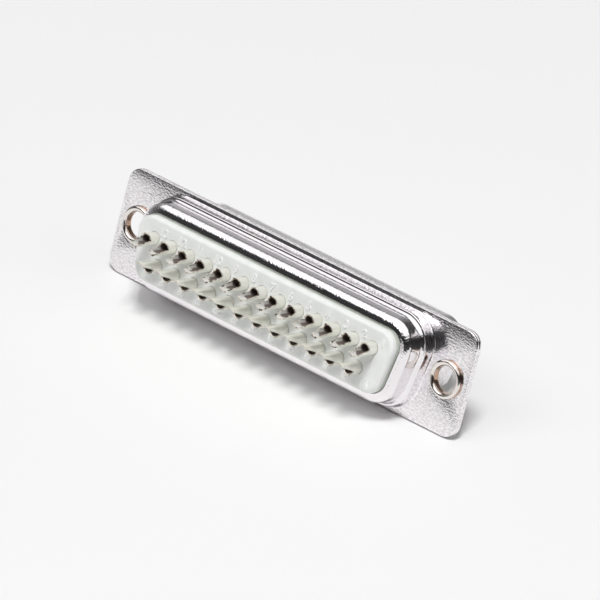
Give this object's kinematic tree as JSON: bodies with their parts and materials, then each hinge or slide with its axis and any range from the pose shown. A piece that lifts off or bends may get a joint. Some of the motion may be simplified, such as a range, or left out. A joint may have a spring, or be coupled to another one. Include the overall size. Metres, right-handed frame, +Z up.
{
  "type": "d-sub connector",
  "caption": "Flanged metal D-shaped plug with rows of contact pins in front, open solder cups behind and a riveted hole at each end of the flange.",
  "frame": {"origin": "middle of the two mounting holes, on the mating face of the flange", "axes": "+X along the flange towards contact 1's end, +Y out of the mating side along the pins, +Z up towards the longer row; the solder cups point along -Y"},
  "size_m": [0.053, 0.0153, 0.0126],
  "materials": {
    "shell": "tin-plated drawn sheet steel, bright with a fine grain",
    "insulator": "moulded glass-filled polyester, satin",
    "eyelet": "thinly tinned brass, bronze where the plating is worn",
    "contact": "turned brass, tin-plated"
  },
  "bodies": {
    "root": {"front_shell": "shell", "rear_shell": "shell", "front_insulator": "insulator", "rear_insulator": "insulator", "eyelet_left": "eyelet", "eyelet_right": "eyelet", "contact_01": "contact", "contact_02": "contact", "contact_03": "contact", "contact_04": "contact", "contact_05": "contact", "contact_06": "contact", "contact_07": "contact", "contact_08": "contact", "contact_09": "contact", "contact_10": "contact", "contact_11": "contact", "contact_12": "contact", "contact_13": "contact", "contact_14": "contact", "contact_15": "contact", "contact_16": "contact", "contact_17": "contact", "contact_18": "contact", "contact_19": "contact", "contact_20": "contact", "contact_21": "contact", "contact_22": "contact", "contact_23": "contact", "contact_24": "contact", "contact_25": "contact"}
  },
  "joints": []
}
